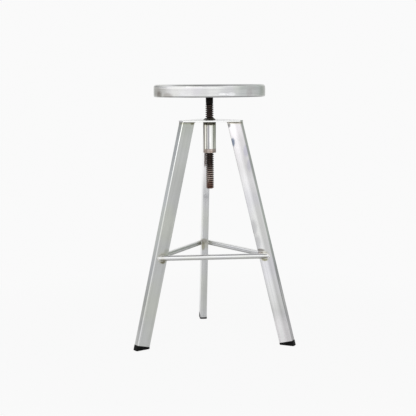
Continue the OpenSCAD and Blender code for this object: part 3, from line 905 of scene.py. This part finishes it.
def leg_bead(angle):
    """The line of the weld under the top plate, along three faces of a leg.

    One half is a list of (way out from the axis, way aside, angle of the face), and the other mirrors it.
    """
    outer = LEG_TOP_R - TUBE_CORNER_R
    inner = LEG_TOP_R - TUBE_W / math.cos(SPLAY)
    aside = TUBE_T / 2
    straight = aside - TUBE_CORNER_R
    half = [(outer - i * (outer - inner - TUBE_CORNER_R) / 36, aside, 90) for i in range(37)]
    for a in (22, 45, 68, 90):
        half.append((inner + TUBE_CORNER_R - TUBE_CORNER_R * math.sin(math.radians(a)),
                     straight + TUBE_CORNER_R * math.cos(math.radians(a)), 90 + a))
    half += [(inner, straight * (1 - i / 6), 180) for i in range(1, 7)]
    whole = half + [(x, -y, 360 - a) for x, y, a in reversed(half[:-1])]
    line = [spin(angle) @ Vector((x, y, PLATE_LOW)) for x, y, a in whole]
    normals = [(spin(angle) @ Vector(heading(a)), DOWN) for x, y, a in whole]
    return line, normals


def sleeve_bead():
    """The line of the weld round the top of the nut sleeve."""
    around = [Vector(heading(4 * i)) for i in range(90)]
    line = [SLEEVE_R * way + Vector((0, 0, PLATE_LOW)) for way in around]
    return line, [(way, DOWN) for way in around]


def add_bead(name, path, radius, material, seed, *replaced, closed=True):
    """A weld bead along a path, which is its line and its normals."""
    line, normals = path
    mesh = bead_mesh(name, line, normals, radius, closed, seed)
    add_piece(name, mesh, "stand", material, "weld", *replaced)


# Materials

seat_metal = steel("seat_satin", SATIN, 0.15, (2.0, 2.0, 260), wave=0.0008, uneven=0.04, turned=True,
                   dress=rim_painted_light)
# The plate's white tone is a painted highlight for its bright front edge
plate_metal = steel("plate_satin", (1.0, 1.0, 1.0), 0.18, (8, 260, 260), wave=0.0003, hue=0.01, uneven=0.015,
                    dress=sawn)
bar_metal = {name: bar_steel(name, *looks) for name, looks in BAR_LOOKS.items()}
leg_metal = {name: leg_steel(name, **looks) for name, looks in LEG_LOOKS.items()}
mount_metal = dark_metal("mount_mill", ((0.22, 0.22, 0.22), (0.36, 0.36, 0.355)), 0.48, 45)
zinc_metal = dark_metal("fastener_zinc", ((0.50, 0.50, 0.49), (0.66, 0.66, 0.64)), 0.34, 160)
black_metal = dark_metal("grub_black", ((0.03, 0.03, 0.032), (0.07, 0.07, 0.07)), 0.45, 200)
weld_bright = weld_metal()
weld_dark = scaled_weld("weld_dark_bead", 1.0)
weld_darker = scaled_weld("weld_darker", 0.5)
nut_metal = nut_steel()

# CAD nodes that keep their own shape
KEPT = {
    "upper_nut": nut_metal, "lower_nut": nut_metal, "grub_screws": black_metal, "flange_washers": zinc_metal,
    **leg_metal, **bar_metal,
}
for node, material in KEPT.items():
    mesh = NODES[node].data
    mesh.materials.clear()
    mesh.materials.append(material)

# Seat
seat_profile = (
    [(0, SEAT_TOP), (SEAT_R - 2 * EDGE_R, SEAT_TOP)]
    + arc(SEAT_R - EDGE_R - RIM_BULGE, SEAT_TOP - EDGE_R, EDGE_R, 90, 0, 14)
    + [(SEAT_R, (RIM_LOW + SEAT_TOP) / 2)]
    + arc(SEAT_R - FOOT_R - RIM_BULGE, RIM_LOW + FOOT_R, FOOT_R, 0, -90, 8)
    + arc(SEAT_R - LIP_W + SHEET / 2, RIM_LOW + SHEET / 2, SHEET / 2, -90, -270, 8)
    + arc(SEAT_R - FOOT_R, RIM_LOW + FOOT_R, FOOT_R - SHEET, -90, 0, 4)
    + arc(SEAT_R - EDGE_R, SEAT_TOP - EDGE_R, EDGE_R - SHEET, 0, 90, 6)
    + [(0, SEAT_TOP - SHEET)]
)
seat_mesh = lathe("seat", seat_profile, 192, closed=False)
weight_normals(add_piece("seat", seat_mesh, "seat unit", seat_metal, "seat_steel", "seat_pan"))

# Lift screw
weight_normals(add_piece("lift_screw_thread", screw_mesh(), "seat unit", screw_steel(), "screw_steel",
                         "lift_screw"))

# Nut sleeve, whose lower end is lightly chamfered
sleeve_profile = [
    (SLEEVE_BORE_R, PLATE_LOW), (SLEEVE_BORE_R, SLEEVE_LOW), (SLEEVE_R - SLEEVE_CHAMFER, SLEEVE_LOW),
    (SLEEVE_R, SLEEVE_LOW + SLEEVE_CHAMFER), (SLEEVE_R, SLEEVE_LOW + 2 * SLEEVE_CHAMFER),
    (SLEEVE_R, PLATE_LOW),
]
weight_normals(add_piece("sleeve_tube", lathe("sleeve_tube", sleeve_profile), "stand", sleeve_steel(),
                         "sleeve_steel", "nut_sleeve"))

# Dust ring with rounded shoulders
ring_low = PLATE_HIGH + 0.3 * MM
ring_profile = (
    [(11.6 * MM, ring_low)]
    + arc(16.6 * MM, ring_low + 0.4 * MM, 0.4 * MM, -90, 0, 4)
    + [(17 * MM, ring_low + 1 * MM), (16.0 * MM, ring_low + 1.6 * MM), (14.2 * MM, ring_low + 3.0 * MM)]
    + arc(12.5 * MM, ring_low + 3.9 * MM, 0.6 * MM, 20, 90, 5)
    + arc(12.0 * MM, ring_low + 4.1 * MM, 0.4 * MM, 90, 180, 4)
)
ring_mesh = lathe("dust_ring_rubber", ring_profile, 96)
weight_normals(add_piece("dust_ring_rubber", ring_mesh, "dust ring", ring_rubber(), "ring_rubber",
                         "dust_ring"))

# Plate, caps and the parts under the seat, with rounded edges
refined("top_plate", "plate", "stand", plate_metal, "stand_steel", 0.5 * MM)
caps = cap_plastic()
for leg in ("front_left", "front_right", "rear"):
    refined("foot_cap_" + leg, "cap_" + leg, "stand", caps, "cap_plastic", 1.2 * MM, shape=round_heel)
refined("hub_flange", "flange", "seat unit", mount_metal, "mounting_steel", 0.6 * MM)
refined("hub_collar", "collar", "seat unit", mount_metal, "mounting_steel", 0.5 * MM)
refined("flange_bolts", "bolts", "seat unit", zinc_metal, "fastener", 0.4 * MM)
refined("brace_bar_long", "brace_long", "seat unit", mount_metal, "mounting_steel", 0.6 * MM)
refined("brace_bars_short", "braces_short", "seat unit", mount_metal, "mounting_steel", 0.6 * MM)

# Weld beads
bar_welds = [(turn, side) for turn in BAR_TURNS.values() for side in (-1, 1)]
for i, (turn, side) in enumerate(bar_welds):
    add_bead(f"bead_bar_{i + 1}", bar_bead(turn, side), BAR_BEAD_R, weld_bright, i)
for i, angle in enumerate(LEG_ANGLES.values()):
    add_bead(f"bead_leg_{i + 1}", leg_bead(angle), LEG_BEAD_R, weld_dark, 20 + i, closed=False)
add_bead("bead_sleeve", sleeve_bead(), SLEEVE_BEAD_R, weld_darker, 30, "sleeve_weld")


# Studio

def studio_floor():
    """White paper. The camera sees it plain, and reflections see it dark near the stool and to one side."""
    mesh = bpy.data.meshes.new("studio_floor")
    count, radius = 96, 14.0
    points = []
    for i in range(count):
        angle = 2 * math.pi * i / count
        points.append((radius * math.cos(angle), radius * math.sin(angle), 0))
    mesh.from_pydata(points, [], [tuple(range(count))])
    floor = linked("studio_floor", mesh)
    material, g = new_material("floor_paper")
    place = g.place()
    far = g.vector("LENGTH", place)
    white = g.add("Emission", {"Color": (1, 1, 1), "Strength": WHITE})
    paper = g.add("BsdfDiffuse", {"Color": PAPER})
    ray = g.add("LightPath").outputs
    seen = g.math("MULTIPLY", ray["Is Camera Ray"], g.spread(far, 0.4, 1.4, 0.97, 1.01))
    side = g.math("MAXIMUM", g.spread(g.xyz(place)[0], 0.5, -0.4, 0.25, 1.0), g.spread(far, 1.5, 3.0))
    lit = g.math("MULTIPLY", g.spread(far, 0.1, 0.75, 0.25, 1.0), side)
    mirrored = g.math("MULTIPLY", g.math("MAXIMUM", ray["Is Glossy Ray"], ray["Is Transmission Ray"]), lit)
    share = g.math("MAXIMUM", seen, mirrored)
    shown = g.add("MixShader", {0: share, 1: paper.outputs[0], 2: white.outputs[0]}).outputs[0]
    below = g.add("NewGeometry").outputs["Backfacing"]
    clear = g.add("BsdfTransparent").outputs[0]
    g.output("Material", g.add("MixShader", {0: below, 1: shown, 2: clear}))
    mesh.materials.append(material)


def studio_world():
    """White for the camera. For light and reflections, a studio whose walls differ by angle and height."""
    world = bpy.data.worlds.new("studio")
    world.use_nodes = True
    bpy.context.scene.world = world
    g = Graph(world.node_tree)
    x, y, z = g.xyz(g.add("TexCoord").outputs["Generated"])
    bearing = g.bearing(x, y)
    walls = g.around(bearing, WALLS, "EASE")
    low = g.math("MULTIPLY", g.spread(z, 0.02, -0.06), g.around(bearing, LOW_LIGHT, "EASE"))
    walls = g.mix(low, walls, LOW_LIGHT_TONE)
    dark = g.math("MULTIPLY", g.spread(z, 0.01, 0.05), g.around(bearing, SIDE_SHADE, "EASE"))
    walls = g.mix(dark, walls, g.ramp(z, SHADE_BY_HEIGHT, "EASE"))
    studio = g.mix(g.spread(z, 0.50, 0.85), walls, OVERHEAD)
    height = g.ramp(z, [(0.0, 0.0), (0.22, 0.0), (0.36, 1.0), (0.62, 1.0), (0.78, 0.0)], "EASE")
    softbox = g.math("MULTIPLY", height, g.around(bearing, SOFTBOX, "EASE"))
    studio = g.mix(softbox, studio, SOFTBOX_TONE)
    colour = g.mix(g.add("LightPath").outputs["Is Camera Ray"], studio, (WHITE, WHITE, WHITE))
    g.output("World", g.add("Background", {"Color": colour, "Strength": 1.0}))


def area_lamp(name, place, aim, size, power):
    """A square lamp at a place, turned to a point."""
    light = bpy.data.lights.new(name, "AREA")
    light.shape = "SQUARE"
    light.size = size
    light.energy = power
    turn = (Vector(aim) - Vector(place)).to_track_quat("-Z", "Y").to_matrix().to_4x4()
    linked(name, light).matrix_world = Matrix.Translation(place) @ turn


studio_world()
studio_floor()
area_lamp("softbox", place=(-1.3, -1.7, 2.0), aim=(0, 0, 0.45), size=1.5, power=9)

# Camera, from a fit to the outlines in the photograph
CAMERA_PLACE = Vector((-0.28667, -2.78974, 0.72991))
CAMERA_LENS = 85.605
RIGHT = Vector((0.99488, -0.10090, -0.00582))
UP = Vector((0.01839, 0.12408, 0.99210))
FORWARD = Vector((0.09938, 0.98713, -0.12530))
camera_data = bpy.data.cameras.new("camera")
camera_data.sensor_width = 36
camera_data.lens = CAMERA_LENS
camera_data.clip_end = 100
camera = linked("camera", camera_data)
axes = Matrix((RIGHT, UP, -FORWARD)).transposed().to_4x4()
camera.matrix_world = Matrix.Translation(CAMERA_PLACE) @ axes
bpy.context.scene.camera = camera
bpy.context.scene.view_settings.view_transform = "Standard"
